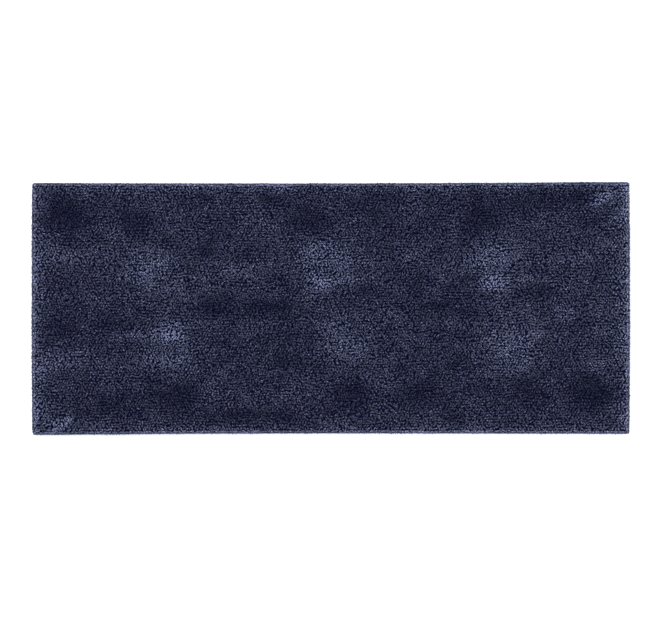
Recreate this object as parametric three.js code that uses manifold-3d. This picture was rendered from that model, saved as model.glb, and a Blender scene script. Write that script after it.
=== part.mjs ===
// A tufted bath runner: cut pile on a woven base cloth, a non-slip latex coat underneath, and four taped hems,
// each held by a row of lockstitch. Millimetres, +Z up. X runs along the length and Y across the width.
// The origin is on the floor, under the middle of the mat.
import * as THREE from "three";
import { mergeVertices } from "three/addons/utils/BufferGeometryUtils.js";
import Module from "manifold-3d";

// Overall sizes
const matLength = 1450; // over the pile at both ends
const matWidth = 610; // over the hem tapes on both long sides
const clearance = 0.3; // between pieces that touch

// Latex coat and base cloth
const coatThickness = 1.4;
const clothThickness = 0.8;

// Pile
const pileHeight = 16.5; // above the base cloth
const shoulderRadius = 9; // rounding where the pile falls over an edge
const pileCornerRadius = 6; // in plan
const pileOverhang = 2.5; // past the tape at each end
const tapeShowing = 3; // tape left bare beside the pile on each long side

// Hem tape: a channel folded round the edge of the base, with a short lip on top and a wide flap underneath
const tapeThickness = 1.1;
const lipWidth = 3;
const flapWidth = 20;
const foldSteps = 4; // flats round each outer fold

// Lockstitch rows
const threadDiameter = 0.4;
const threadSides = 8;
const stitchInset = 14; // from the tape's outer edge
const threadAboveFloor = 0.1; // the lower thread is pulled up into its groove by this much

// The base steps down from the hem's flap to the floor
const rampInset = 1; // beyond the flap
const rampWidth = 12;
const rampSteps = 4;

// Care label, sewn into the left hem
const labelThickness = 0.5;
const labelWidth = 32;
const labelShowing = 30; // past the flap
const labelTuck = 9; // under the flap
const labelY = -180;
const labelAboveFloor = 0.1;

// Heights at the hem, and how far the flap lifts the base there
const hemLift = tapeThickness + clearance;
const clothBottom = coatThickness + clearance; // in the middle of the mat
const clothTop = clothBottom + clothThickness;
const pileTop = clothTop + pileHeight;
const lipBottom = hemLift + clothTop + clearance;
const tapeTop = lipBottom + tapeThickness;

// Plan sizes of the taped base, and of the base inside its tape
const tapeLength = matLength - 2 * pileOverhang;
const tapeWidth = matWidth;
const baseInset = tapeThickness + clearance;
const pileWidth = matWidth - 2 * tapeShowing;
const rampStart = flapWidth + rampInset;
const rampEnd = rampStart + rampWidth;
const middleInset = rampEnd + 5; // past this every section is level, as far as the middle
const threadRadius = threadDiameter / 2;
const grooveWidth = threadDiameter + 2 * clearance;

const wasm = await Module();
wasm.setup();

// A closed three.js geometry as a solid that can be cut.
function solidOf(geometry) {
  const bare = geometry.clone();
  bare.deleteAttribute("normal");
  bare.deleteAttribute("uv");
  const merged = mergeVertices(bare, 1e-3);
  return new wasm.Manifold(
    new wasm.Mesh({
      numProp: 3,
      vertProperties: merged.attributes.position.array,
      triVerts: new Uint32Array(merged.index.array),
    }),
  );
}

function geometryOf(solid) {
  const mesh = solid.getMesh();
  const geometry = new THREE.BufferGeometry();
  geometry.setAttribute("position", new THREE.BufferAttribute(mesh.vertProperties, 3));
  geometry.setIndex(new THREE.BufferAttribute(mesh.triVerts, 1));
  geometry.computeVertexNormals();
  return geometry;
}

// A geometry with solids cut out of it.
function cut(geometry, tools) {
  return geometryOf(tools.reduce((left, tool) => left.subtract(tool), solidOf(geometry)));
}

// How far the base is lifted off the floor at a distance in from the tape's edge: all the way over the flap, not at
// all in the middle, and a smooth step between them.
function liftAt(inset) {
  return hemLift * (1 - THREE.MathUtils.smoothstep(inset, rampStart, rampEnd));
}

const rampInsets = Array.from(
  { length: rampSteps + 1 },
  (_, i) => rampStart + (rampWidth * i) / rampSteps,
);

// Points [inset, height] along a surface of the base, from the middle of the mat out to an inset.
function baseLine(heightInMiddle, outTo) {
  const ramp = [...rampInsets].reverse().map((inset) => [inset, heightInMiddle + liftAt(inset)]);
  return [[middleInset, heightInMiddle], ...ramp, [outTo, heightInMiddle + hemLift]];
}

// A slab with the same section in from all four edges. The section runs from the middle underneath, out to the edge,
// and back to the middle on top. A four-sided lathe gives a square slab, and its corners are then moved apart.
function slab(section, length, width) {
  const profile = section.map(
    ([inset, z]) => new THREE.Vector2((middleInset - inset) * Math.SQRT2, z),
  );
  const geometry = new THREE.LatheGeometry(profile, 4, Math.PI / 4).rotateX(Math.PI / 2);
  const position = geometry.getAttribute("position");
  for (let i = 0; i < position.count; i++) {
    const x = position.getX(i);
    const y = position.getY(i);
    const onAxis = Math.hypot(x, y) < 1e-6;
    const outX = onAxis ? 0 : Math.sign(x) * (length / 2 - middleInset);
    const outY = onAxis ? 0 : Math.sign(y) * (width / 2 - middleInset);
    position.setXY(i, x + outX, y + outY);
  }
  return geometry;
}

// A solid frame between two distances in from the tape's outer edge, from below the floor up to a height.
function frame(outerInset, innerInset, height) {
  const box = (inset, margin) =>
    new THREE.BoxGeometry(tapeLength - 2 * inset, tapeWidth - 2 * inset, 2 * (height + margin));
  return solidOf(box(outerInset, 0)).subtract(solidOf(box(innerInset, 1)));
}

// An upright prism over a rectangle with rounded corners.
function roundedPrism(length, width, radius, height) {
  const [x, y] = [length / 2, width / 2];
  const outline = new THREE.Shape();
  outline.moveTo(-x + radius, -y);
  outline.absarc(x - radius, -y + radius, radius, -Math.PI / 2, 0);
  outline.absarc(x - radius, y - radius, radius, 0, Math.PI / 2);
  outline.absarc(-x + radius, y - radius, radius, Math.PI / 2, Math.PI);
  outline.absarc(-x + radius, -y + radius, radius, Math.PI, 1.5 * Math.PI);
  return new THREE.ExtrudeGeometry(outline, { depth: height, bevelEnabled: false, curveSegments: 6 });
}

// One layer of the base, between two heights given in the middle of the mat.
function baseLayer(low, high) {
  const section = [...baseLine(low, baseInset), ...baseLine(high, baseInset).reverse()];
  return slab(section, tapeLength, tapeWidth);
}

// The latex coat follows the base cloth down to the floor in the middle, with a pocket where the label lies.
function latexCoat() {
  return cut(baseLayer(0, coatThickness), [solidOf(labelPocket())]);
}

function baseCloth() {
  return baseLayer(clothBottom, clothTop);
}

// The pile: level with the base, with rounded shoulders, hollowed underneath for the base, the tape's lip and the
// upper threads.
function pile() {
  const shoulder = Array.from({ length: 7 }, (_, i) => {
    const angle = (i / 6) * (Math.PI / 2);
    const drop = shoulderRadius * (1 - Math.sin(angle));
    return [shoulderRadius * (1 - Math.cos(angle)), pileTop + hemLift - drop];
  });
  const top = baseLine(pileTop, rampStart - 1).reverse();
  const body = slab([[middleInset, 0], [0, 0], ...shoulder, ...top], matLength, pileWidth);
  const plan = roundedPrism(matLength, pileWidth, pileCornerRadius, pileTop + hemLift + 1);
  const outside = 10;
  const base = slab(
    [[middleInset, -1], [-outside, -1], ...baseLine(clothTop + clearance, -outside).reverse()],
    tapeLength,
    tapeWidth,
  );
  const lip = frame(-outside, lipWidth + clearance, tapeTop + clearance);
  const channelTop = hemLift + clothTop + threadDiameter + 2 * clearance;
  const channel = frame(stitchInset - grooveWidth / 2, stitchInset + grooveWidth / 2, channelTop);
  const rounded = geometryOf(solidOf(body).intersect(solidOf(plan)));
  return cut(rounded, [solidOf(base), lip, channel]);
}

// A hem tape's section, drawn with x as the distance in from its outer edge and y as the height. The groove in the
// flap's underside is where the lower thread pulls it in.
function tapeSection() {
  const t = tapeThickness;
  const [grooveOut, grooveIn] = [stitchInset - grooveWidth / 2, stitchInset + grooveWidth / 2];
  const grooveTop = threadAboveFloor + threadDiameter + clearance;
  const section = new THREE.Shape();
  section.moveTo(t, 0);
  section.lineTo(grooveOut, 0);
  section.lineTo(grooveOut, grooveTop);
  section.lineTo(grooveIn, grooveTop);
  section.lineTo(grooveIn, 0);
  section.lineTo(flapWidth, 0);
  section.lineTo(flapWidth, t);
  section.lineTo(t, t);
  section.lineTo(t, tapeTop - t);
  section.lineTo(lipWidth, tapeTop - t);
  section.lineTo(lipWidth, tapeTop);
  section.lineTo(t, tapeTop);
  section.absarc(t, tapeTop - t, t, Math.PI / 2, Math.PI);
  section.absarc(t, t, t, Math.PI, 1.5 * Math.PI);
  return section;
}

// A tape along one edge, mitred at both ends, with its outer edge on x = 0 and its run along y.
function hemTape(edgeLength) {
  const geometry = new THREE.ExtrudeGeometry(tapeSection(), {
    depth: 1,
    bevelEnabled: false,
    curveSegments: foldSteps,
  });
  const position = geometry.getAttribute("position");
  for (let i = 0; i < position.count; i++) {
    const inset = position.getX(i);
    const end = position.getZ(i) > 0.5 ? 1 : -1;
    position.setZ(i, end * (edgeLength / 2 - inset - clearance));
  }
  return geometry.rotateX(Math.PI / 2);
}

// The four lockstitch rows. The end rows stop short of the side rows, which run on to the corners.
const sideRow = tapeLength / 2 - stitchInset;
const endRow = tapeWidth / 2 - stitchInset - threadRadius - clearance;
const stitchRows = [
  { name: "front", along: "x", half: sideRow, across: -(tapeWidth / 2 - stitchInset) },
  { name: "back", along: "x", half: sideRow, across: tapeWidth / 2 - stitchInset },
  { name: "left", along: "y", half: endRow, across: -(tapeLength / 2 - stitchInset) },
  { name: "right", along: "y", half: endRow, across: tapeLength / 2 - stitchInset },
];

function thread({ along, half, across }) {
  const geometry = new THREE.CylinderGeometry(threadRadius, threadRadius, 2 * half, threadSides);
  return along === "x"
    ? geometry.rotateZ(Math.PI / 2).translate(0, across, 0)
    : geometry.translate(across, 0, 0);
}

// The label follows the underside of the base from under the flap out on to the level middle. Its section has x as
// the distance in from the tape's edge and y as the height, between two lines given by their height above the base.
function ribbon(lower, upper, from, to, width) {
  const insets = [from, ...rampInsets, to];
  const line = (above) => insets.map((inset) => new THREE.Vector2(inset, liftAt(inset) + above));
  const section = new THREE.Shape([...line(lower), ...line(upper).reverse()]);
  const geometry = new THREE.ExtrudeGeometry(section, { depth: width, bevelEnabled: false });
  return geometry.translate(0, 0, -width / 2).rotateX(Math.PI / 2).translate(-tapeLength / 2, labelY, 0);
}

const labelFrom = flapWidth - labelTuck;
const labelTo = flapWidth + labelShowing;
const labelTop = labelAboveFloor + labelThickness;

function careLabel() {
  return ribbon(labelAboveFloor, labelTop, labelFrom, labelTo, labelWidth);
}

function labelPocket() {
  const gap = clearance;
  return ribbon(-gap, labelTop + gap, labelFrom - gap, labelTo + gap, labelWidth + 2 * gap);
}

const finishes = {
  yarn: { color: 0x2c2f48, roughness: 0.95, metalness: 0 },
  tape: { color: 0x252a45, roughness: 0.85, metalness: 0 },
  cloth: { color: 0x30344a, roughness: 0.9, metalness: 0 },
  latex: { color: 0x4a4d5c, roughness: 0.6, metalness: 0 },
  thread: { color: 0x232843, roughness: 0.7, metalness: 0 },
  satin: { color: 0xe4e4e0, roughness: 0.5, metalness: 0 },
};
const materials = Object.fromEntries(
  Object.entries(finishes).map(([name, values]) => [name, new THREE.MeshStandardMaterial(values)]),
);

const mat = new THREE.Group();

function add(name, geometry, material) {
  const mesh = new THREE.Mesh(geometry, material);
  mesh.name = name;
  mat.add(mesh);
  return mesh;
}

add("pile", pile(), materials.yarn);
add("base_cloth", baseCloth(), materials.cloth);
add("latex_coat", latexCoat(), materials.latex);
add("care_label", careLabel(), materials.satin);

const edges = [
  { name: "left", length: tapeWidth, x: -tapeLength / 2, y: 0, turn: 0 },
  { name: "front", length: tapeLength, x: 0, y: -tapeWidth / 2, turn: Math.PI / 2 },
  { name: "right", length: tapeWidth, x: tapeLength / 2, y: 0, turn: Math.PI },
  { name: "back", length: tapeLength, x: 0, y: tapeWidth / 2, turn: -Math.PI / 2 },
];
for (const { name, length, x, y, turn } of edges) {
  const tape = add("hem_tape_" + name, hemTape(length), materials.tape);
  tape.position.set(x, y, 0);
  tape.rotation.z = turn;
}

for (const row of stitchRows) {
  const needle = add("needle_thread_" + row.name, thread(row), materials.thread);
  needle.position.z = hemLift + clothTop + clearance + threadRadius;
  const bobbin = add("bobbin_thread_" + row.name, thread(row), materials.thread);
  bobbin.position.z = threadAboveFloor + threadRadius;
}

export default mat;
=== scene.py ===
"""A tufted bath runner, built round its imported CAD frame: cut-pile yarn, woven base, latex coat, hems and
stitching.

Metres, in the frame's own axes: X along the length, Y across the width, Z up from the floor.
"""

import math

import bpy
import mathutils
import numpy as np
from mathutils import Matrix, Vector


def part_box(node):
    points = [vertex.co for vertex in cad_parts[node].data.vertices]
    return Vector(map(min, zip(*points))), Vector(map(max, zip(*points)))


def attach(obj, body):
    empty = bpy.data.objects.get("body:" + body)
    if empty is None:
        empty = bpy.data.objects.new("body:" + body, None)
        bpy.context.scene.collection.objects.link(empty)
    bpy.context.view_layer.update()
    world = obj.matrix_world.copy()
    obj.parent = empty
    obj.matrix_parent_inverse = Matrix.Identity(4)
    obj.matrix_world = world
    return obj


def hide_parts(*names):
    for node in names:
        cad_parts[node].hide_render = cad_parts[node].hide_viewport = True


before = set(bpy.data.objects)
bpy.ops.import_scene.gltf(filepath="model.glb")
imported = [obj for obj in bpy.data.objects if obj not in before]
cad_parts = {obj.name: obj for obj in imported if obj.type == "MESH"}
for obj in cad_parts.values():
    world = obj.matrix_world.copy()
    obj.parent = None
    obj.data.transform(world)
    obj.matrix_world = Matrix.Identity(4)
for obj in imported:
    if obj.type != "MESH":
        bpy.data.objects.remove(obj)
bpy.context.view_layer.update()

# ---------------------------------------------------------------- sizes, from the frame

MM = 0.001


def box_of(node):
    """The lowest and the highest corner of a node's box."""
    low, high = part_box(node)
    return np.array(low), np.array(high)


TAPE_LOW, TAPE_HIGH = box_of("hem_tape_left")
CLOTH_LOW, CLOTH_HIGH = box_of("base_cloth")
LABEL_LOW, LABEL_HIGH = box_of("care_label")
NEEDLE_LOW, NEEDLE_HIGH = box_of("needle_thread_front")
BOBBIN_LOW, BOBBIN_HIGH = box_of("bobbin_thread_front")
COAT_HIGH = box_of("latex_coat")[1]
PILE_TOP = box_of("pile")[1][2]

TAPE_THICK = 1.1 * MM
CLEARANCE = 0.3 * MM
CLOTH_THICK = 0.8 * MM
COAT_THICK = 1.4 * MM
HALF_TAPE_X = -TAPE_LOW[0]
HALF_TAPE_Y = box_of("hem_tape_back")[1][1]
FLAP = TAPE_HIGH[0] - TAPE_LOW[0]
TAPE_TOP = TAPE_HIGH[2]
LIP = 3.0 * MM
HEM_LIFT = CLOTH_HIGH[2] - CLOTH_LOW[2] - CLOTH_THICK
RAMP_START = FLAP + 1.0 * MM  # where the layers begin to come down off the flap
RAMP_END = RAMP_START + 12.0 * MM
CLOTH_TOP = CLOTH_LOW[2] + CLOTH_THICK
STITCH_INSET = HALF_TAPE_Y + (BOBBIN_LOW[1] + BOBBIN_HIGH[1]) / 2

# Tufting: rows run along the length, one needle to a row, and each stitch leaves one cut tuft
ROW_GAUGE = 6.62 * MM
STITCH_STEP = 7.0 * MM
ROWS_PER_BAND = 13
PILE_LENGTH = 16.6 * MM

# ---------------------------------------------------------------- noise and plan


def smooth(t):
    """3t^2 - 2t^3, with t held between 0 and 1."""
    t = np.clip(t, 0.0, 1.0)
    return t * t * (3.0 - 2.0 * t)


NOISE_LENGTH, NOISE_WIDTH = 2.0, 1.0  # of the area that the lattice covers, in metres


def value_noise(x, y, size, seed):
    """Random numbers between -1 and 1 on a square lattice of the given size, blended smoothly between its
    points."""
    rng = np.random.default_rng(seed)
    columns = int(NOISE_LENGTH / size) + 3
    rows = int(NOISE_WIDTH / size) + 3
    lattice = rng.uniform(-1.0, 1.0, (columns, rows))
    u = (np.asarray(x) + NOISE_LENGTH / 2) / size
    v = (np.asarray(y) + NOISE_WIDTH / 2) / size
    i = np.clip(np.floor(u).astype(int), 0, columns - 2)
    j = np.clip(np.floor(v).astype(int), 0, rows - 2)
    fu, fv = smooth(u - i), smooth(v - j)
    near = lattice[i, j] * (1 - fu) + lattice[i + 1, j] * fu
    far = lattice[i, j + 1] * (1 - fu) + lattice[i + 1, j + 1] * fu
    return near * (1 - fv) + far * fv


def lift(inset):
    """How far the base is raised at a distance in from the tape's edge: by the hem's lift over its flap,
    and not at all in the middle, with a smooth step between."""
    return HEM_LIFT * (1.0 - smooth((inset - RAMP_START) / (RAMP_END - RAMP_START)))


def inset_of(x, y):
    """Distance in from the nearest outer edge of the hem tapes."""
    return np.minimum(HALF_TAPE_X - np.abs(x), HALF_TAPE_Y - np.abs(y))


# One pass of a hand over the pile, as strokes round the place where it pressed: x, y, reach along x,
# reach along y, and how far the stroke leans the yarn to show its sides, lightened with painted light
# (above 0), or its cut ends, darkened with painted shade (below 0).
PASS = [
    (0.000, 0.000, 0.036, 0.028, 1.00),
    (0.071, 0.006, 0.065, 0.013, 0.45),
    (0.012, 0.067, 0.075, 0.036, 0.70),
    (0.061, -0.152, 0.072, 0.060, 0.75),
    (0.182, -0.079, 0.028, 0.020, 0.50),
    (0.139, -0.243, 0.028, 0.016, 0.50),
    (0.218, 0.061, 0.040, 0.024, 0.35),
    (-0.024, 0.152, 0.042, 0.032, -0.85),
    (0.085, -0.267, 0.038, 0.036, -0.75),
    (0.240, -0.274, 0.055, 0.036, -0.75),
    (-0.112, -0.061, 0.055, 0.021, -0.60),
    (-0.086, -0.199, 0.022, 0.017, -0.60),
    (-0.088, -0.326, 0.022, 0.016, -0.60),
    (0.121, -0.024, 0.042, 0.018, -0.45),
]
# Where a pass was made, and whether it went the same way or the other way round.
PASSES = [(-0.026, 0.064, 1), (0.387, 0.064, 1), (-0.388, -0.058, -1)]
# Single strokes.
STROKES = [
    (-0.245, 0.094, 0.055, 0.022, 0.50),
    (-0.657, -0.124, 0.050, 0.024, 0.50),
    (-0.657, 0.131, 0.045, 0.018, 0.50),
    (0.666, -0.130, 0.040, 0.014, 0.50),
    (-0.238, -0.212, 0.050, 0.026, 0.35),
    (0.637, 0.255, 0.013, 0.012, 0.80),
    (0.652, 0.265, 0.014, 0.012, 1.00),
    (0.669, 0.275, 0.015, 0.013, 0.90),
    (-0.637, -0.262, 0.013, 0.012, 0.70),
    (-0.652, -0.271, 0.014, 0.012, 0.90),
    (-0.669, -0.281, 0.015, 0.013, 0.90),
    (0.600, 0.268, 0.030, 0.016, -0.80),
    (-0.663, 0.240, 0.050, 0.040, -0.35),
    (-0.147, 0.262, 0.060, 0.022, -0.50),
    (0.107, 0.258, 0.070, 0.032, -0.50),
    (0.500, 0.262, 0.060, 0.030, -0.60),
    (-0.200, 0.003, 0.070, 0.022, -0.25),
    (-0.645, -0.052, 0.060, 0.024, -0.55),
    (-0.523, -0.230, 0.080, 0.036, -0.55),
    (-0.226, -0.260, 0.060, 0.018, -0.80),
]


def nap(x, y):
    """The brushed strokes, each strength * exp(-(dx / reach_x)^2 - (dy / reach_y)^2), over a slow random
    drift with streaks along the length."""
    shade = 0.12 * value_noise(x, y, size=0.11, seed=11) + 0.14 * value_noise(x, y, size=0.050, seed=12)
    shade = shade + 0.17 * value_noise(x / 2, y, size=0.022, seed=13)
    placed = [
        (pass_x + way * x0, pass_y + way * y0, reach_x, reach_y, strength)
        for pass_x, pass_y, way in PASSES
        for x0, y0, reach_x, reach_y, strength in PASS
    ]
    for at_x, at_y, reach_x, reach_y, strength in placed + STROKES:
        shade = shade + strength * np.exp(-(((x - at_x) / reach_x) ** 2) - ((y - at_y) / reach_y) ** 2)
    return shade


# Each end stands out at its middle, and falls back from there to its corners. Each long side is drawn in at
# its middle, and comes out from there to its corners.
END_OUT, END_CORNER_BACK = 1.3 * MM, 1.8 * MM
SIDE_IN, SIDE_CORNER_OUT = 0.7 * MM, 1.9 * MM
SHEAR = 1.3 * MM  # across the width, from the middle to either end
DRIFT_X, DRIFT_Y = 0.45 * MM, 0.55 * MM
PAST_EDGE = 1.02  # shares of the half sizes are held at this, so that the floor isn't warped


def out_of_square(points):
    """Points moved to where they lie on a mat that is a little out of true: sheared along its length, its
    ends bowed out, its long sides pinched in at the middle, and all of it drifting by about half a
    millimetre. With u and v the shares of the half sizes, x gains u (out - back v^2), and y gains shear u
    + v (out u^2 - in)."""
    x, y, z = points.T
    u = np.clip(x / HALF_TAPE_X, -PAST_EDGE, PAST_EDGE)
    v = np.clip(y / HALF_TAPE_Y, -PAST_EDGE, PAST_EDGE)
    drift_x = DRIFT_X * value_noise(x, y, size=0.13, seed=71)
    drift_y = DRIFT_Y * value_noise(x, y, size=0.16, seed=72)
    moved_x = x + u * (END_OUT - END_CORNER_BACK * v**2) + drift_x
    moved_y = y + SHEAR * u + v * (SIDE_CORNER_OUT * u**2 - SIDE_IN) + drift_y
    return np.column_stack([moved_x, moved_y, z])


# ---------------------------------------------------------------- meshes


def new_mesh(name, vertices, faces, smooth_shaded=True):
    """An object from an array of points and a list of arrays of faces, each array holding faces with one
    number of corners. Its points are moved with the mat's outline."""
    vertices = out_of_square(np.asarray(vertices))
    mesh = bpy.data.meshes.new(name)
    mesh.vertices.add(len(vertices))
    mesh.vertices.foreach_set("co", np.ascontiguousarray(vertices, dtype=np.float32).ravel())
    corners = np.concatenate([face.ravel() for face in faces]).astype(np.int32)
    sizes = np.concatenate([np.full(len(face), face.shape[1]) for face in faces])
    starts = np.concatenate([[0], np.cumsum(sizes)[:-1]]).astype(np.int32)
    mesh.loops.add(len(corners))
    mesh.loops.foreach_set("vertex_index", corners)
    mesh.polygons.add(len(sizes))
    mesh.polygons.foreach_set("loop_start", starts)
    mesh.update(calc_edges=True)
    mesh.validate()
    if smooth_shaded:
        mesh.shade_smooth()
    made = bpy.data.objects.new(name, mesh)
    bpy.context.scene.collection.objects.link(made)
    return made


def point_values(made, name, values):
    """A number on every point of a mesh, for its material to read."""
    attribute = made.data.attributes.new(name, "FLOAT", "POINT")
    attribute.data.foreach_set("value", np.asarray(values, dtype=np.float32).ravel())


def corner_map(made, name, places):
    """A UV map with one place for each face corner, in the order of the faces."""
    layer = made.data.uv_layers.new(name=name)
    layer.uv.foreach_set("vector", np.asarray(places, dtype=np.float32).ravel())


# ---------------------------------------------------------------- pile

RIM_INSET = LIP + 1.4 * MM  # the outermost tufts stand just inside the tape's lip
ROW_INSET = RIM_INSET + 2.4 * MM  # and the even rows a little further in
CORNER_ROOM = 2.8 * MM  # left at the end of each outermost run, for its last tuft to spread into
STRANDS_PER_TUFT = 7
STRAND_SIDES = 3
STRAND_RINGS = (0.0, 0.90)  # shares of a strand's length that have a ring of points, with one more to end it
STRAND_RADII = (0.9 * MM, 1.65 * MM)
ROOT_SPREAD = 1.3 * MM
TIP_SPREAD = 3.25 * MM
BROAD, NARROW = 1.4, 0.65  # a tuft's spread along its flat side and through it, against the one above
SHORTER = 0.17  # the outermost strands of a tuft, against its middle
LEAST_RISE = 0.45  # the share of its length that even the most slanted strand rises
GOLDEN_ANGLE = 2.39996  # between one strand of a tuft and the next, in radians
AT_RIM = RIM_INSET + 0.1 * MM  # tufts nearer the edge than this are those of the outermost runs
SWAY, SWAY_FADE = 3.0 * MM, 40 * MM  # of the rows, and the distance from the edge over which it grows
ROOT_JITTER = 0.75 * MM
NAP_LEAN_X, NAP_LEAN_Y = 1.6 * MM, -4.2 * MM  # of a cut end, where the nap's shade is 1
FINE_CLUMP, COARSE_CLUMP = 0.8 * MM, 1.6 * MM
SCATTER = 0.7 * MM
STRAY_SHARE, STRAY_LEAN = 0.05, 3.0 * MM  # of the tufts, and how much further each of them leans
EDGE_FLAT = 9 * MM  # nearer the edge than this, tufts lie with their flat sides along it
RIM_PAINTED_SHADE = 2.9  # how much painted shade darkens the outermost tufts, in tone
POINTS_PER_STRAND = STRAND_SIDES * len(STRAND_RINGS) + 1


def tuft_rows():
    """Roots of all tufts but the outermost, as two arrays with a row for each needle: an even grid, every
    second row set half a stitch on. Away from the edges the rows sway together, and each root is moved a
    little at random and kept inside the hems."""
    rng = np.random.default_rng(21)
    half_x, half_y = HALF_TAPE_X - ROW_INSET, HALF_TAPE_Y - ROW_INSET
    rows = round(2 * half_y / ROW_GAUGE) + 1
    columns = round(2 * half_x / STITCH_STEP) + 1
    x, y = np.meshgrid(np.linspace(-half_x, half_x, columns), np.linspace(-half_y, half_y, rows))
    x = x + (np.arange(rows)[:, None] % 2 - 0.5) * STITCH_STEP / 2
    sway = SWAY * smooth(inset_of(x, y) / SWAY_FADE)
    sway_x, sway_y = (sway * value_noise(x, y, size=0.032, seed=seed) for seed in (22, 23))
    x = x + sway_x + rng.normal(0.0, ROOT_JITTER, x.shape)
    y = y + sway_y + rng.normal(0.0, ROOT_JITTER, y.shape)
    return np.clip(x, -half_x, half_x), np.clip(y, -half_y, half_y)


def rim_tufts():
    """Roots of the outermost tufts, which close the line of the pile all round: four straight runs, with
    two tufts to each stitch."""
    half_x, half_y = HALF_TAPE_X - RIM_INSET, HALF_TAPE_Y - RIM_INSET
    end_x, end_y = half_x - CORNER_ROOM, half_y - CORNER_ROOM
    run_x = np.linspace(-end_x, end_x, round(4 * end_x / STITCH_STEP))
    run_y = np.linspace(-end_y, end_y, round(4 * end_y / ROW_GAUGE))
    x = [run_x, run_x, np.full(len(run_y), half_x), np.full(len(run_y), -half_x)]
    y = [np.full(len(run_x), half_y), np.full(len(run_x), -half_y), run_y, run_y]
    return np.concatenate(x), np.concatenate(y)


def tuft_leans(x, y, rng):
    """How far each tuft's cut end lies from its root, in plan, and the nap's shade there. The lean is the
    sum of the brushed nap, which lays light patches one way and dark ones the other, two scales of
    clumping, and a random lean with a long tail. All of these fade out at the edges, where a fan
    outwards, size * exp(-inset / reach), takes over, and the outermost tufts hang over by a fixed
    amount."""
    shade = nap(x, y)

    def clumped(fine_seed, coarse_seed):
        fine = FINE_CLUMP * value_noise(x, y, size=0.018, seed=fine_seed)
        return fine + COARSE_CLUMP * value_noise(x, y, size=0.040, seed=coarse_seed)

    lean_x = NAP_LEAN_X * shade + clumped(31, 32)
    lean_y = NAP_LEAN_Y * shade + clumped(33, 34)
    angle = rng.uniform(0.0, 2 * np.pi, x.shape)
    reach = rng.rayleigh(SCATTER, x.shape) + np.where(rng.random(x.shape) < STRAY_SHARE, STRAY_LEAN, 0.0)
    lean_x = lean_x + reach * np.cos(angle)
    lean_y = lean_y + reach * np.sin(angle)
    in_x, in_y = HALF_TAPE_X - np.abs(x), HALF_TAPE_Y - np.abs(y)
    fade_x, fade_y = smooth(in_x / (16 * MM)), smooth(in_y / (12 * MM))
    fan_x = np.where(in_x < AT_RIM, 5.2 * MM, 4.6 * MM * np.exp(-in_x / (17 * MM)))
    fan_y = np.where(in_y < AT_RIM, 1.9 * MM, 1.5 * MM * np.exp(-in_y / (12 * MM)))
    lean_x = lean_x * fade_x + np.sign(x) * fan_x
    lean_y = lean_y * fade_y + np.sign(y) * fan_y
    return lean_x, lean_y, shade


def strand_points(root, lean, length, curl, turn, size):
    """Points of many strands. A strand's line in plan is root + lean * t^1.6 + curl * sin(pi t), and it
    rises by sqrt(length^2 - lean^2) * t. Three points stand round it at each ring, turned by 0.9 t, and
    one is at its cut end."""
    rise = np.sqrt(np.maximum(length**2 - (lean**2).sum(1), (LEAST_RISE * length) ** 2))

    def line(t):
        flat = root[:, :2] + lean * t**1.6 + curl * math.sin(math.pi * t)
        return np.column_stack([flat, root[:, 2] + rise * t])

    across = np.column_stack([np.cos(turn), np.sin(turn), np.zeros_like(turn)])
    rings = []
    for t, radius in zip(STRAND_RINGS, STRAND_RADII):
        along = line(t + 0.02) - line(max(t - 0.02, 0.0))
        along /= np.linalg.norm(along, axis=1, keepdims=True)
        side = across - (across * along).sum(1, keepdims=True) * along
        side /= np.linalg.norm(side, axis=1, keepdims=True)
        other = np.cross(along, side)
        for corner in range(STRAND_SIDES):
            angle = 2 * math.pi * corner / STRAND_SIDES + 0.9 * t
            out = side * math.cos(angle) + other * math.sin(angle)
            rings.append(line(t) + out * (radius * size)[:, None])
    rings.append(line(1.0))
    return np.stack(rings, axis=1)


def strand_faces(count):
    """Quads up the sides of each strand, and triangles under its root and over its cut end."""
    corner = np.arange(STRAND_SIDES)
    after = (corner + 1) % STRAND_SIDES
    quads = np.column_stack([corner, after, STRAND_SIDES + after, STRAND_SIDES + corner])
    end = np.full(STRAND_SIDES, POINTS_PER_STRAND - 1)
    tips = np.column_stack([STRAND_SIDES + corner, STRAND_SIDES + after, end])
    triangles = np.vstack([tips, corner[::-1][None, :]])
    step = (np.arange(count) * POINTS_PER_STRAND)[:, None, None]
    return (quads[None] + step).reshape(-1, 4), (triangles[None] + step).reshape(-1, 3)


def strand_map(count):
    """A place on the bake map for each face corner. Every strand has a cell of its own: the way round the
    strand runs across the cell, and the way up the strand runs up it."""
    columns = math.ceil(math.sqrt(2 * count))
    rows = math.ceil(count / columns)
    margin = 0.14
    top = STRAND_RINGS[1]
    quads, triangles = [], []
    for corner in range(STRAND_SIDES):
        left, right = corner / STRAND_SIDES, (corner + 1) / STRAND_SIDES
        quads += [(left, 0.0), (right, 0.0), (right, top), (left, top)]
        triangles += [(left, top), (right, top), ((left + right) / 2, 1.0)]
    triangles += [(0.0, 0.0), (0.2, 0.0), (0.1, -0.05)]
    index = np.arange(count)
    cell = np.column_stack([index % columns, index // columns])[:, None, :]

    def placed(corners):
        inside = margin + (1 - 2 * margin) * np.array(corners)[None]
        return ((cell + inside) / [columns, rows]).reshape(-1, 2)

    return np.vstack([placed(quads), placed(triangles)])


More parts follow.
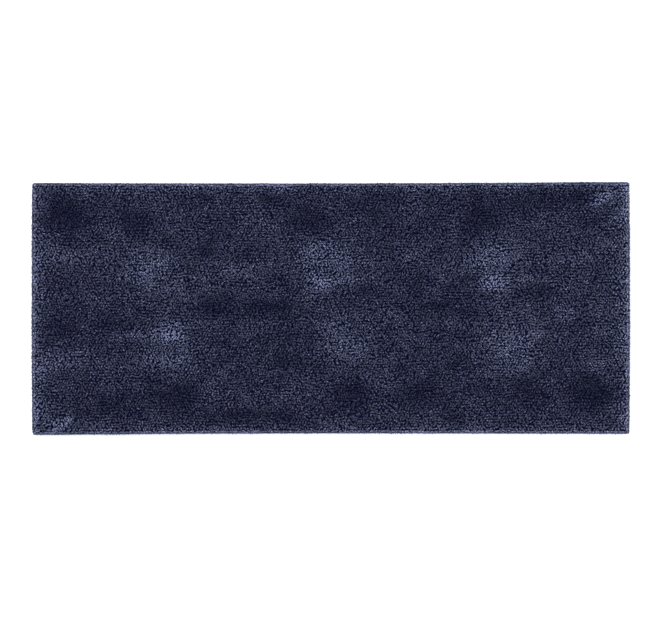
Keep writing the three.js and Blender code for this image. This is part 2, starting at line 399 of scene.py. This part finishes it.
def pile_band(number, x, y, paint):
    """A band of tufting rows as one mesh. A tuft's strands stand round its middle in a sunflower's order,
    strand k at the golden angle times k and at the square root of its share of the way out. The outer
    ones are shorter and darkened with painted shade, and all spread as they rise. Each tuft is flattened,
    along the edge where it is near one and elsewhere along a direction that changes slowly over the mat,
    with a random part."""
    rng = np.random.default_rng(100 + number)
    x, y = x.ravel(), y.ravel()
    lean_x, lean_y, shade = tuft_leans(x, y, rng)
    inset = inset_of(x, y)
    in_x, in_y = HALF_TAPE_X - np.abs(x), HALF_TAPE_Y - np.abs(y)
    length = PILE_LENGTH * (0.82 + 0.18 * smooth(inset / (11 * MM))) * (1 + rng.normal(0.0, 0.035, x.shape))
    tuft_tone = rng.normal(0.0, 1.0, x.shape)
    count = len(x) * STRANDS_PER_TUFT

    def each(values):
        return np.repeat(values, STRANDS_PER_TUFT)

    member = np.tile(np.arange(STRANDS_PER_TUFT), len(x))
    outer = np.sqrt((member + 0.5) / STRANDS_PER_TUFT)
    angle = each(rng.uniform(0.0, 2 * np.pi, x.shape)) + GOLDEN_ANGLE * member + rng.normal(0.0, 0.3, count)
    reach = outer * rng.uniform(0.8, 1.2, count)
    with_edge = np.where(in_x < in_y, np.pi / 2, 0.0) + rng.normal(0.0, 0.15, x.shape)
    in_field = 4.0 * value_noise(x, y, size=0.030, seed=35) + rng.normal(0.0, 0.6, x.shape)
    flat_way = each(np.where(inset < EDGE_FLAT, with_edge, in_field))
    broad, narrow = BROAD * reach * np.cos(angle), NARROW * reach * np.sin(angle)
    out = np.column_stack([
        broad * np.cos(flat_way) - narrow * np.sin(flat_way),
        broad * np.sin(flat_way) + narrow * np.cos(flat_way),
    ])
    root = np.column_stack([each(x), each(y), each(CLOTH_TOP + lift(inset) - 0.3 * MM)])
    root[:, :2] += ROOT_SPREAD * out
    lean = np.column_stack([each(lean_x), each(lean_y)]) + (TIP_SPREAD - ROOT_SPREAD) * out
    own_length = each(length) * (1 - SHORTER * outer**2) * (1 + rng.normal(0.0, 0.03, count))
    curl = rng.normal(0.0, 0.5 * MM, (count, 2))
    turn = rng.uniform(0, 2 * np.pi, count)
    size = rng.uniform(0.8, 1.2, count)
    points = strand_points(root, lean, own_length, curl, turn, size)
    band = new_mesh(f"pile_rows_{number}", points.reshape(-1, 3), strand_faces(count))

    def on_points(values):
        return np.repeat(values, POINTS_PER_STRAND)

    # Painted light near the mat's edges, where the pile leans out and shows its sides to the light
    edge = np.maximum(np.exp(-in_x / (18 * MM)), np.exp(-in_y / (11 * MM)))
    # Painted shade on the outermost tufts and on the outer strands of every tuft; the rest of the tone
    # differs at random
    rim = each(np.where(inset < AT_RIM, RIM_PAINTED_SHADE, 0.0))
    tone_and_shade = 1.0 - 2.0 * outer**2 + 0.4 * each(tuft_tone) + 1.6 * rng.normal(0.0, 1.0, count) - rim
    point_values(band, "along", np.tile(np.append(np.repeat(STRAND_RINGS, STRAND_SIDES), 1.0), count))
    point_values(band, "tone_and_shade", on_points(tone_and_shade))
    # The nap's shade, which the yarn's colour turns into painted light and painted shade
    point_values(band, "nap", on_points(each(shade)))
    point_values(band, "edge", on_points(each(edge)))
    corner_map(band, "OFBake", strand_map(count))
    band.data.materials.append(paint)
    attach(band, "root")
    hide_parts("pile")
    return band


DEPTH_INSET = 5.5 * MM
DEPTH_LEAST, DEPTH_GAIN = 0.8 * MM, 9.4 * MM  # its thickness at the edge, and what the middle adds
DEPTH_LUMPS = 1.0 * MM
DEPTH_STEP = 6 * MM  # between its points


def pile_depth(paint):
    """The lower part of the pile, where the tufts crowd together. Its top stands over the base cloth by
    least + (gain + lumps) * smooth((inset - 2 mm) / 5 mm), so it falls away under the outermost tufts."""
    half_x, half_y = HALF_TAPE_X - DEPTH_INSET, HALF_TAPE_Y - DEPTH_INSET

    def low(x, y):
        ripple = 0.10 * MM * value_noise(x, y, size=0.03, seed=41)
        return CLOTH_TOP + 0.15 * MM + lift(inset_of(x, y)) + ripple

    def high(x, y):
        lumps = DEPTH_LUMPS * value_noise(x, y, size=0.0071, seed=42)
        return low(x, y) + DEPTH_LEAST + (DEPTH_GAIN + lumps) * smooth((inset_of(x, y) - 2 * MM) / (5 * MM))

    depth = new_mesh("pile_depth", *layer(low, high, DEPTH_STEP, half_x, half_y))
    depth.data.materials.append(paint)
    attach(depth, "root")
    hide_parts("pile")
    return depth


def pile(paint, packed_paint):
    """All the tufting rows, in bands that lie side by side across the width, and the depth between them."""
    x, y = tuft_rows()
    starts = range(0, len(x), ROWS_PER_BAND)
    bands = [
        pile_band(number + 1, x[start : start + ROWS_PER_BAND], y[start : start + ROWS_PER_BAND], paint)
        for number, start in enumerate(starts)
    ]
    return [*bands, pile_band(len(bands) + 1, *rim_tufts(), paint), pile_depth(packed_paint)]


# ---------------------------------------------------------------- base cloth and latex coat


def closed_grid(under, top):
    """Points and faces of a thin closed body from two grids of points, one under the other: both
    surfaces, and one row of faces round their rim."""
    index = np.arange(under.shape[0] * under.shape[1]).reshape(under.shape[:2])
    a, b, c, d = index[:-1, :-1], index[1:, :-1], index[1:, 1:], index[:-1, 1:]
    up = np.stack([a, b, c, d], axis=-1).reshape(-1, 4) + index.size
    down = np.stack([d, c, b, a], axis=-1).reshape(-1, 4)
    rim = np.concatenate([index[:-1, 0], index[-1, :-1], index[:0:-1, -1], index[0, :0:-1]])
    after = np.roll(rim, -1)
    wall = np.column_stack([rim, after, after + index.size, rim + index.size])
    return np.vstack([under.reshape(-1, 3), top.reshape(-1, 3)]), [down, up, wall]


def layer(low, high, step, half_x, half_y):
    """A closed layer between two height functions of x and y, on an even grid."""
    nx, ny = round(2 * half_x / step) + 1, round(2 * half_y / step) + 1
    x, y = np.meshgrid(np.linspace(-half_x, half_x, nx), np.linspace(-half_y, half_y, ny), indexing="ij")
    return closed_grid(np.stack([x, y, low(x, y)], axis=-1), np.stack([x, y, high(x, y)], axis=-1))


LAYER_STEP = 8 * MM  # between the points of the cloth and of the coat


def base_cloth(paint):
    """The woven cloth that the tufts stand in: it runs level, and steps up over the hem's flap."""
    half_x, half_y = CLOTH_HIGH[0], CLOTH_HIGH[1]

    def low(x, y):
        return CLOTH_LOW[2] + lift(inset_of(x, y)) + 0.08 * MM * value_noise(x, y, size=0.03, seed=41)

    def high(x, y):
        return low(x, y) + CLOTH_THICK

    cloth = new_mesh("base_weave", *layer(low, high, LAYER_STEP, half_x, half_y))
    cloth.data.materials.append(paint)
    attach(cloth, "root")
    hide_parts("base_cloth")
    return cloth


DOT_PITCH = 17.0 * MM
DOT_RADIUS = 3.2 * MM
DOT_HEIGHT = 0.55 * MM
DOT_SIDES = 7
DOT_SUNK = 0.02 * MM  # how far the head of each dot is sunk into the film
LABEL_MIDDLE = (LABEL_LOW[1] + LABEL_HIGH[1]) / 2
LABEL_HALF_WIDTH = (LABEL_HIGH[1] - LABEL_LOW[1]) / 2
LABEL_ROOM = 0.35 * MM  # how far the film is drawn up over the label


def dots(points, roof):
    """Low round domes that hang from a height: two rings of points on a quarter ellipse, and one at the
    bottom."""
    angle = 2 * np.pi * np.arange(DOT_SIDES) / DOT_SIDES
    shares = ((1.0, 0.0), (0.72, 0.7))
    circle = np.column_stack([np.cos(angle), np.sin(angle)])
    rings = [
        np.column_stack([DOT_RADIUS * wide * circle, np.full(DOT_SIDES, -DOT_HEIGHT * deep)])
        for wide, deep in shares
    ]
    shape = np.vstack([*rings, [[0.0, 0.0, -DOT_HEIGHT]]])
    corner = np.arange(DOT_SIDES)
    after = (corner + 1) % DOT_SIDES
    wall = np.column_stack([after, corner, DOT_SIDES + corner, DOT_SIDES + after])
    walls = np.vstack([ring * DOT_SIDES + wall for ring in range(len(shares) - 1)])
    last = (len(shares) - 1) * DOT_SIDES
    foot = np.column_stack([last + after, last + corner, np.full(DOT_SIDES, len(shape) - 1)])
    head = corner[None, :]
    centre = np.column_stack([points, roof])
    vertices = (centre[:, None, :] + shape[None]).reshape(-1, 3)
    step = (np.arange(len(points)) * len(shape))[:, None, None]
    faces = [(part[None] + step).reshape(-1, part.shape[1]) for part in (walls, foot, head)]
    return vertices, faces


def dot_places():
    """A triangular grid of dots over the level part of the underside, left out where the label lies."""
    half_x, half_y = HALF_TAPE_X - RAMP_END, HALF_TAPE_Y - RAMP_END
    rows = int(2 * half_y / (DOT_PITCH * math.sqrt(0.75)))
    columns = int(2 * half_x / DOT_PITCH)
    x, y = np.meshgrid(np.arange(columns) - (columns - 1) / 2, np.arange(rows) - (rows - 1) / 2)
    x = (x + 0.25 * (2 * (np.arange(rows)[:, None] % 2) - 1)) * DOT_PITCH
    y = y * DOT_PITCH * math.sqrt(0.75)
    x, y = x.ravel(), y.ravel()
    margin = DOT_RADIUS + 1.0 * MM
    under_label = (x < LABEL_HIGH[0] + margin) & (y > LABEL_LOW[1] - margin) & (y < LABEL_HIGH[1] + margin)
    return np.column_stack([x, y])[~under_label]


def latex_backing(paint):
    """The coat: a film that follows the base cloth, drawn up over the label, with dots that stand on the
    floor."""
    half_x, half_y = COAT_HIGH[0], COAT_HIGH[1]

    def film(x, y):
        beyond_x = np.maximum(x - LABEL_HIGH[0], 0.0)
        beyond_y = np.maximum(np.abs(y - LABEL_MIDDLE) - LABEL_HALF_WIDTH, 0.0)
        over_label = LABEL_ROOM * (1 - smooth(np.hypot(beyond_x, beyond_y) / (6 * MM)))
        return DOT_HEIGHT + lift(inset_of(x, y)) * (1 - DOT_HEIGHT / COAT_THICK) + over_label

    def top(x, y):
        return COAT_THICK + lift(inset_of(x, y))

    sheet_points, sheet_faces = layer(film, top, LAYER_STEP, half_x, half_y)
    places = dot_places()
    dot_points, dot_faces = dots(places, film(places[:, 0], places[:, 1]) + DOT_SUNK)
    faces = sheet_faces + [face + len(sheet_points) for face in dot_faces]
    coat = new_mesh("latex_backing", np.vstack([sheet_points, dot_points]), faces)
    coat.data.materials.append(paint)
    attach(coat, "root")
    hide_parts("latex_coat")
    return coat


# ---------------------------------------------------------------- hems

SIDE_NAMES = ("front", "right", "back", "left")
STITCH_LENGTH = 4.0 * MM
GROOVE_DEPTH = 0.45 * MM
GROOVE_REACH = 1.3 * MM


def along_edge(name, run, inset, z):
    """Points given by their run along an edge, distance in from it and height, put on that side of the
    mat. Seen from above, runs go anticlockwise."""
    half = HALF_TAPE_Y if name in ("front", "back") else HALF_TAPE_X
    out = half - inset
    x, y = {"front": (run, -out), "right": (out, run), "back": (-run, out), "left": (-out, -run)}[name]
    return np.stack(np.broadcast_arrays(x, y, z), axis=-1)


def half_edge(name):
    """Half the length of the mat's edge on that side."""
    return HALF_TAPE_X if name in ("front", "back") else HALF_TAPE_Y


def swept_faces(steps, corners):
    """Faces round a profile of so many corners carried through so many steps, and one face over each
    end."""
    index = np.arange(steps * corners).reshape(steps, corners)
    a, b = index[:-1], index[1:]
    after_a, after_b = np.roll(a, -1, axis=1), np.roll(b, -1, axis=1)
    walls = np.stack([a, b, after_b, after_a], axis=-1).reshape(-1, 4)
    return [walls, index[0][None], index[-1][None, ::-1]]


def tape_profile():
    """The tape's section as a closed loop of (inset, height): offset by half a thickness to each side of
    a folded line, with round ends. The line runs out along the flap, round the lower fold, up the wall,
    round the upper fold and in along the lip."""
    half = TAPE_THICK / 2
    fold = 0.9 * MM
    quarter = np.linspace(0.0, np.pi / 2, 4)
    groove = [STITCH_INSET + GROOVE_REACH * s for s in (1, 0.5, 0, -0.5, -1)]
    flap = [(inset, half) for inset in (FLAP - half, FLAP - 3 * MM, *groove, 6 * MM)]
    centre = half + fold
    lower = [(centre - fold * math.sin(a), centre - fold * math.cos(a)) for a in quarter]
    high = TAPE_TOP - centre
    upper = [(centre - fold * math.cos(a), high + fold * math.sin(a)) for a in quarter]
    line = np.array([*flap, *lower, *upper, (LIP - half, TAPE_TOP - half)])
    along = np.gradient(line, axis=0)
    along /= np.linalg.norm(along, axis=1, keepdims=True)
    normal = np.column_stack([along[:, 1], -along[:, 0]])
    outer, inner = line - half * normal, line + half * normal
    turn = np.pi * np.array([0.3, 0.7])[:, None]
    lip_end = line[-1] - half * (np.cos(turn) * normal[-1] - np.sin(turn) * along[-1])
    flap_end = line[0] + half * (np.cos(turn) * normal[0] - np.sin(turn) * along[0])
    return np.vstack([outer, lip_end, inner[::-1], flap_end])


def hem_tape(name, paint):
    """A folded tape: its profile carried along one edge, with each point's run shortened by its inset, so
    that both ends are mitred. A shallow groove, depth * exp(-(distance / (0.6 reach))^2), follows the
    stitches and is deepest at each hole, and the tape's edges waver a little."""
    profile = tape_profile()
    inset, height = profile[:, 0], profile[:, 1]
    half = half_edge(name)
    steps = round(2 * half / (STITCH_LENGTH / 2))
    share = np.linspace(-1.0, 1.0, steps + 1)[:, None]
    run = share * (half - inset[None] - CLEARANCE / 2)
    on_flap = height < TAPE_THICK * 1.01
    near = np.exp(-(((inset - STITCH_INSET) / (0.6 * GROOVE_REACH)) ** 2))
    draw = 0.75 + 0.25 * np.cos(2 * np.pi * run / STITCH_LENGTH)
    z = height + np.where(on_flap & (height < TAPE_THICK / 2), GROOVE_DEPTH * near, 0.0) * draw
    side = 1.0 + SIDE_NAMES.index(name)
    aside = 0.25 * MM * value_noise(run / 2, 0.05 * side, size=0.02, seed=51)
    waver = aside * smooth(inset / (2 * MM))
    up = 0.35 * MM * value_noise(run / 2, 0.05 * side, size=0.012, seed=52)
    z = z + np.where(height > TAPE_TOP / 2, up, 0.0)
    points = along_edge(name, run, inset + waver, z)
    tape = new_mesh(f"hem_{name}", points.reshape(-1, 3), swept_faces(*points.shape[:2]))
    length_round = np.append(0.0, np.cumsum(np.hypot(*np.diff(profile, axis=0).T)))
    point_values(tape, "across", np.tile(length_round, len(points)))
    point_values(tape, "run", np.broadcast_to(run, points.shape[:2]))
    tape.data.materials.append(paint)
    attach(tape, "root")
    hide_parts(f"hem_tape_{name}")
    return tape


THREAD_SIDES = 5
THREAD_STEPS = 6  # to a stitch
THREAD_RADIUS = 0.21 * MM
STITCH_DIP = 0.45 * MM
END_ROOM = 0.6 * MM  # by which the rows at the ends stop short of those along the sides


def lockstitch(kind, name, level, dip, paint):
    """A thread along one row: it lies flat for most of each stitch, and dips into the cloth at the needle
    holes. Its height is level + dip * cos^6(pi * run / stitch), and five points stand round it at each
    step."""
    room = 0.0 if name in ("front", "back") else END_ROOM
    corner = half_edge(name) - STITCH_INSET - room
    stitches = round(2 * corner / STITCH_LENGTH)
    run = np.linspace(-corner, corner, stitches * THREAD_STEPS + 1)
    z = level + dip * np.cos(np.pi * run / STITCH_LENGTH) ** 6
    inset = STITCH_INSET + 0.12 * MM * value_noise(run / 2, 0.1, size=0.01, seed=61)
    angle = 2 * np.pi * np.arange(THREAD_SIDES) / THREAD_SIDES
    radius = THREAD_RADIUS * (1 - 0.15 * np.cos(2 * np.pi * run / STITCH_LENGTH))[:, None]
    round_inset = inset[:, None] - radius * np.cos(angle)
    round_height = z[:, None] + radius * np.sin(angle)
    points = along_edge(name, run[:, None], round_inset, round_height)
    thread = new_mesh(f"{kind}_stitches_{name}", points.reshape(-1, 3), swept_faces(*points.shape[:2]))
    point_values(thread, "run", np.broadcast_to(run[:, None], points.shape[:2]))
    point_values(thread, "around", np.broadcast_to(angle / (2 * np.pi), points.shape[:2]))
    thread.data.materials.append(paint)
    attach(thread, "root")
    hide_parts(f"{kind}_thread_{name}")
    return thread


LABEL_THICK = 0.28 * MM
LABEL_SEWN = 12 * MM  # the part of its run that is held down flat
LABEL_CURL = 0.16 * MM
LABEL_LEVEL = 0.25 * MM  # the height of its middle, where the base is level


def care_label(paint):
    """A blank satin label: a ribbon on a grid of run and width, which follows the base down off the flap.
    Beyond its sewn part it is raised by curl * free * (0.5 + 0.5 sin(5 side + 3 free)), with free going
    from 0 to 1 along it and side from -1 to 1 across it."""
    low, high = LABEL_LOW, LABEL_HIGH
    run_line, across_line = np.linspace(low[0], high[0], 27), np.linspace(low[1], high[1], 17)
    run, across = np.meshgrid(run_line, across_line, indexing="ij")
    free = smooth((run - low[0] - LABEL_SEWN) / (high[0] - low[0] - LABEL_SEWN))
    side = (2 * across - low[1] - high[1]) / (high[1] - low[1])
    curl = LABEL_CURL * free * (0.5 + 0.5 * np.sin(5.0 * side + 3.0 * free))
    centre = LABEL_LEVEL + lift(HALF_TAPE_X + run) + curl
    under = np.stack([run, across, centre - LABEL_THICK / 2], axis=-1)
    top = np.stack([run, across, centre + LABEL_THICK / 2], axis=-1)
    label = new_mesh("blank_label", *closed_grid(under, top))
    label.data.materials.append(paint)
    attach(label, "root")
    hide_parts("care_label")
    return label


# ---------------------------------------------------------------- materials


class Socket:
    """A node's output. Arithmetic written on it, as on a number, adds the Math nodes that work it out."""

    def __init__(self, paint, output):
        self.paint = paint
        self.output = output

    def math(self, operation, *values):
        return self.paint.node("ShaderNodeMath", {"operation": operation}, dict(enumerate(values)))

    def __add__(self, other):
        return self.math("ADD", self, other)

    __radd__ = __add__

    def __sub__(self, other):
        return self.math("SUBTRACT", self, other)

    def __rsub__(self, other):
        return self.math("SUBTRACT", other, self)

    def __mul__(self, other):
        return self.math("MULTIPLY", self, other)

    __rmul__ = __mul__

    def __pow__(self, other):
        return self.math("POWER", self, other)

    def held(self):
        """The value, kept between 0 and 1."""
        return self.math("MINIMUM", self.math("MAXIMUM", self, 0.0), 1.0)

    def wave(self, period):
        """A sine between 0 and 1 that repeats over a length."""
        return self.math("SINE", self * (2 * math.pi / period)) * 0.5 + 0.5


class Paint:
    """A material with one Principled shader, and the nodes that feed it."""

    def __init__(self, name, **constants):
        self.material = bpy.data.materials.new(name)
        self.material.use_nodes = True
        self.tree = self.material.node_tree
        self.shader = self.tree.nodes["Principled BSDF"]
        for socket, value in constants.items():
            self.shader.inputs[socket.replace("_", " ")].default_value = value

    def node(self, kind, settings=None, inputs=None, output=0):
        """Adds a node, applies its settings and feeds its sockets, and returns the output that is asked
        for."""
        made = self.tree.nodes.new(kind)
        for key, value in (settings or {}).items():
            setattr(made, key, value)
        for key, value in (inputs or {}).items():
            if isinstance(value, Socket):
                self.tree.links.new(value.output, made.inputs[key])
            else:
                made.inputs[key].default_value = value
        return Socket(self, made.outputs[output])

    def feed(self, socket, value):
        self.tree.links.new(value.output, self.shader.inputs[socket])

    def attribute(self, name):
        return self.node("ShaderNodeAttribute", {"attribute_name": name}, output="Fac")

    def place(self):
        return self.node("ShaderNodeTexCoord", output="Object")

    def part(self, vector, axis):
        return self.node("ShaderNodeSeparateXYZ", inputs={0: vector}, output=axis)

    def stretched(self, vector, x, y, z):
        return self.node("ShaderNodeVectorMath", {"operation": "MULTIPLY"}, {0: vector, 1: (x, y, z)})

    def noise(self, vector, scale, detail=2.0):
        inputs = {"Vector": vector, "Scale": scale, "Detail": detail}
        return self.node("ShaderNodeTexNoise", inputs=inputs, output="Fac")

    def mix(self, share, first, second):
        """From the first colour to the second as the share goes from 0 to 1."""
        colours = [(*c, 1.0) if isinstance(c, tuple) and len(c) == 3 else c for c in (first, second)]
        settings = {"data_type": "RGBA", "clamp_factor": True}
        return self.node("ShaderNodeMix", settings, {0: share, 6: colours[0], 7: colours[1]}, output=2)

    def bump(self, height, distance, strength=1.0):
        inputs = {"Height": height, "Distance": distance, "Strength": strength}
        self.feed("Normal", self.node("ShaderNodeBump", inputs=inputs))


# The yarn's colour runs between these: it reaches the dark end in the painted shade at the roots and between
# strands, and painted light at the edges and in the nap carries it towards the light end
YARN_DARK, YARN_LIGHT = (0.0002, 0.0007, 0.0094), (0.296, 0.321, 0.520)
YARN_SHINE = {
    "Specular_IOR_Level": 0.0,
    "Sheen_Weight": 0.03,
    "Sheen_Roughness": 0.45,
    "Sheen_Tint": (0.50, 0.55, 1.0, 1.0),
}
# How far each of these lightens the yarn, in stops: a stop is a doubling of its light. The nap's stops are
# painted light and painted shade, the edge's are painted light, and the tone's are random tone with painted
# shade
NAP_PAINTED_SHADING_STOPS, EDGE_PAINTED_LIGHT_STOPS, TONE_AND_SHADE_STOPS, CLUMP_STOPS = 1.7, 2.3, 0.42, 2.8
PACKED_CLUMP_STOPS = 4.0
YARN_LEVEL, PACKED_SHADE_LEVEL = 0.146, 0.085  # at no stops, the share of the way from the dark colour to the light; the packed yarn's lower level is painted shade deep in the pile
ROOT_SHADE_POWER = 3.2  # painted shade deep in the pile: the power of the height up a strand that its light follows
FIBRE_CONTRAST = 3.6


def fibre_shade(fibre):
    """1 + contrast * (fibre - 1/2), which makes an even light uneven from fibre to fibre."""
    return FIBRE_CONTRAST * fibre - (FIBRE_CONTRAST / 2 - 1.0)


def yarn_paint():
    """Cut-pile yarn: darkened with painted shade towards its roots and so lighter at its cut ends, uneven
    from strand to strand, lightened with painted light where the nap shows its sides and at the mat's edges,
    and darkened with painted shade where it shows its cut ends. Fine fibres run up each strand."""
    paint = Paint("navy_pile_yarn", **YARN_SHINE)
    place = paint.place()
    along, tone_and_shade, nap_painted_shading, edge = (paint.attribute(name) for name in ("along", "tone_and_shade", "nap", "edge"))
    fibre = paint.noise(paint.stretched(place, 1.0, 1.0, 0.35), 1500.0, 3.0)
    clump = paint.noise(place, 330.0, 1.0)
    # Painted light and shade from the nap, painted light at the edges, random tone with painted shade, and
    # random clumps
    stops = nap_painted_shading * NAP_PAINTED_SHADING_STOPS + edge * EDGE_PAINTED_LIGHT_STOPS + tone_and_shade * TONE_AND_SHADE_STOPS
    stops = stops + CLUMP_STOPS * clump - CLUMP_STOPS / 2
    # Painted shade: the yarn darkens towards its roots, deep in the pile, and less so where painted light
    # from the edges and the nap lies
    height = along ** (ROOT_SHADE_POWER - 1.4 * edge - 0.4 * nap_painted_shading)
    light = YARN_LEVEL * height * stops.math("POWER", 2.0, stops) * fibre_shade(fibre)
    paint.feed("Base Color", paint.mix(light.held(), YARN_DARK, YARN_LIGHT))
    paint.feed("Roughness", 0.78 + 0.2 * fibre)
    paint.bump(fibre, 0.35 * MM, 0.7)
    return paint.material


def packed_yarn_paint():
    """The yarn low down between the tufts: strands crowded together, in uneven clumps, darkened with
    painted shade as a whole and in the gaps round each strand, so that each is lighter at its middle."""
    paint = Paint("navy_packed_yarn", **YARN_SHINE)
    place = paint.place()
    inputs = {"Vector": place, "Scale": 430.0}
    from_middle = paint.node("ShaderNodeTexVoronoi", inputs=inputs, output="Distance")
    # Painted shade in the gaps between crowded strands; the same pattern raises the strands in the bump
    strand = (1.0 - 1.4 * from_middle).held()
    clump = paint.noise(place, 210.0, 2.0)
    fibre = paint.noise(place, 1500.0, 3.0)
    stops = PACKED_CLUMP_STOPS * clump - PACKED_CLUMP_STOPS / 2
    light = PACKED_SHADE_LEVEL * strand * strand * stops.math("POWER", 2.0, stops) * fibre_shade(fibre)
    paint.feed("Base Color", paint.mix(light.held(), YARN_DARK, YARN_LIGHT))
    paint.feed("Roughness", 0.80 + 0.2 * strand)
    paint.bump(strand, 1.2 * MM, 0.8)
    return paint.material


def twill_paint():
    """Twill tape: diagonal ribs across its width, crossed by fine threads."""
    sheen = {"Sheen_Weight": 0.2, "Sheen_Roughness": 0.5, "Sheen_Tint": (0.6, 0.65, 1.0, 1.0)}
    paint = Paint("navy_twill_tape", **sheen)
    across, run = paint.attribute("across"), paint.attribute("run")
    rib = (run + across).wave(1.1 * MM)
    cross = (run - across * 0.2).wave(0.42 * MM)
    weave = rib * 0.75 + cross * 0.25
    uneven = paint.noise(paint.place(), 60.0)
    share = (weave * 0.6 + uneven * 0.4 - 0.05).held()
    colour = paint.mix(share, (0.006, 0.008, 0.026), (0.040, 0.048, 0.110))
    paint.feed("Base Color", colour)
    paint.feed("Roughness", 0.95 - 0.2 * weave)
    paint.bump(weave, 0.22 * MM)
    return paint.material


def weave_paint():
    """Plain-woven carrier cloth: threads over and under along both axes."""
    paint = Paint("navy_base_weave", Sheen_Weight=0.1)
    place = paint.place()
    warp, weft = (paint.part(place, axis).wave(1.6 * MM) for axis in ("X", "Y"))
    weave = warp * (1.0 - weft) + weft * (1.0 - warp)
    uneven = paint.noise(place, 90.0)
    colour = paint.mix((weave * 0.7 + uneven * 0.3).held(), (0.004, 0.005, 0.014), (0.028, 0.034, 0.075))
    paint.feed("Base Color", colour)
    paint.feed("Roughness", 0.95 - 0.15 * weave)
    paint.bump(weave, 0.25 * MM)
    return paint.material


def latex_paint():
    """A matt latex film. The rows of tufting show through it as soft ridges, and it is slightly mottled."""
    paint = Paint("slate_latex", Specular_IOR_Level=0.35)
    place = paint.place()
    y, x = paint.part(place, "Y"), paint.part(place, "X")
    ridge = y.wave(ROW_GAUGE) * (0.7 + 0.3 * x.wave(STITCH_STEP))
    grain = paint.noise(place, 900.0, 4.0)
    mottle = paint.noise(place, 14.0, 3.0)
    share = (0.25 * ridge + 0.35 * grain + 0.5 * mottle - 0.1).held()
    colour = paint.mix(share, (0.030, 0.034, 0.055), (0.105, 0.115, 0.160))
    paint.feed("Base Color", colour)
    paint.feed("Roughness", 0.52 + 0.25 * grain)
    paint.bump(ridge * 0.7 + grain * 0.3, 0.35 * MM, 0.6)
    return paint.material


def thread_paint():
    """Three-ply sewing thread: its plies wind round it as fine slanting ridges."""
    paint = Paint("navy_sewing_thread", Sheen_Weight=0.25, Sheen_Roughness=0.3)
    ply = (paint.attribute("run") + paint.attribute("around") * (1.2 * MM)).wave(0.4 * MM)
    colour = paint.mix(ply, (0.012, 0.015, 0.045), (0.070, 0.080, 0.170))
    paint.feed("Base Color", colour)
    paint.feed("Roughness", 0.7 - 0.2 * ply)
    paint.bump(ply, 0.06 * MM)
    return paint.material


def satin_paint():
    """White woven satin: long floats across the label, and a denser woven selvedge down both sides."""
    paint = Paint("white_label_satin", Sheen_Weight=0.15, Sheen_Roughness=0.2)
    place = paint.place()
    x, y = paint.part(place, "X"), paint.part(place, "Y")
    aside = y - LABEL_MIDDLE
    from_side = LABEL_HALF_WIDTH - aside.math("ABSOLUTE", aside)
    selvedge = (1.0 - from_side * (1 / (2.2 * MM))).held()
    floats = (x + y * 0.2).wave(0.36 * MM)
    colour = paint.mix(floats * 0.5 + selvedge * 0.5, (0.80, 0.80, 0.77), (0.62, 0.62, 0.60))
    paint.feed("Base Color", colour)
    paint.feed("Roughness", 0.42 + 0.2 * floats)
    paint.bump(floats + selvedge * y.wave(0.7 * MM), 0.05 * MM)
    return paint.material


def floor_paint():
    """Plain white studio paper."""
    paint = Paint("studio_white", Base_Color=(0.92, 0.92, 0.92, 1.0), Roughness=0.9)
    return paint.material


# ---------------------------------------------------------------- stage, light and camera


FLOOR_RADIUS = 9.0
FLOOR_SIDES = 64
FLOOR_DROP = 0.05 * MM


def studio_floor(paint):
    """A round sheet of paper far wider than the mat, just under it."""
    angle = np.linspace(0, 2 * np.pi, FLOOR_SIDES, endpoint=False)
    height = np.full(FLOOR_SIDES, -FLOOR_DROP)
    points = np.column_stack([FLOOR_RADIUS * np.cos(angle), FLOOR_RADIUS * np.sin(angle), height])
    floor = new_mesh("studio_floor", points, [np.arange(FLOOR_SIDES)[None]], smooth_shaded=False)
    floor.data.materials.append(paint)


def softbox(name, place, size, power):
    """A square area light that faces the mat."""
    data = bpy.data.lights.new(name, "AREA")
    data.size = size
    data.energy = power
    lamp = bpy.data.objects.new(name, data)
    lamp.location = place
    lamp.rotation_euler = (-mathutils.Vector(place)).to_track_quat("-Z", "Y").to_euler()
    bpy.context.scene.collection.objects.link(lamp)


def studio_light():
    """Two large softboxes from the back left and front right, and an even white surround."""
    softbox("key_softbox", place=(-1.2, 1.7, 3.2), size=2.4, power=125.0)
    softbox("fill_softbox", place=(2.0, -1.5, 3.0), size=2.4, power=50.0)
    world = bpy.data.worlds.new("studio_surround")
    world.use_nodes = True
    surround = world.node_tree.nodes["Background"]
    surround.inputs["Color"].default_value = (0.92, 0.96, 1.0, 1.0)
    surround.inputs["Strength"].default_value = 1.25
    bpy.context.scene.world = world
    bpy.context.scene.view_settings.view_transform = "Standard"


LENS_MM = 85.0
SENSOR_MM = 36.0
FIELD_WIDTH = 1.6017  # of the view at the mat, in metres
VIEW_CENTRE = (-0.0018, -0.0039)


def overhead_camera():
    """A camera left unturned, so it looks straight down with the back edge at the top of the view."""
    data = bpy.data.cameras.new("overhead")
    data.lens = LENS_MM
    data.sensor_width = SENSOR_MM
    camera = bpy.data.objects.new("overhead", data)
    distance = FIELD_WIDTH * LENS_MM / SENSOR_MM
    camera.location = (*VIEW_CENTRE, distance + PILE_TOP / 2)
    bpy.context.scene.collection.objects.link(camera)
    bpy.context.scene.camera = camera


# ---------------------------------------------------------------- the mat

overhead_camera()
studio_light()
studio_floor(floor_paint())

thread_finish, tape_finish = thread_paint(), twill_paint()
latex_backing(latex_paint())
tapes = [hem_tape(name, tape_finish) for name in SIDE_NAMES]
needle_level = (NEEDLE_LOW[2] + NEEDLE_HIGH[2]) / 2
bobbin_level = (BOBBIN_LOW[2] + BOBBIN_HIGH[2]) / 2
threads = [lockstitch("needle", name, needle_level, -STITCH_DIP, thread_finish) for name in SIDE_NAMES]
threads += [lockstitch("bobbin", name, bobbin_level, STITCH_DIP, thread_finish) for name in SIDE_NAMES]
care_label(satin_paint())
bands = pile(yarn_paint(), packed_yarn_paint())
base_cloth(weave_paint())
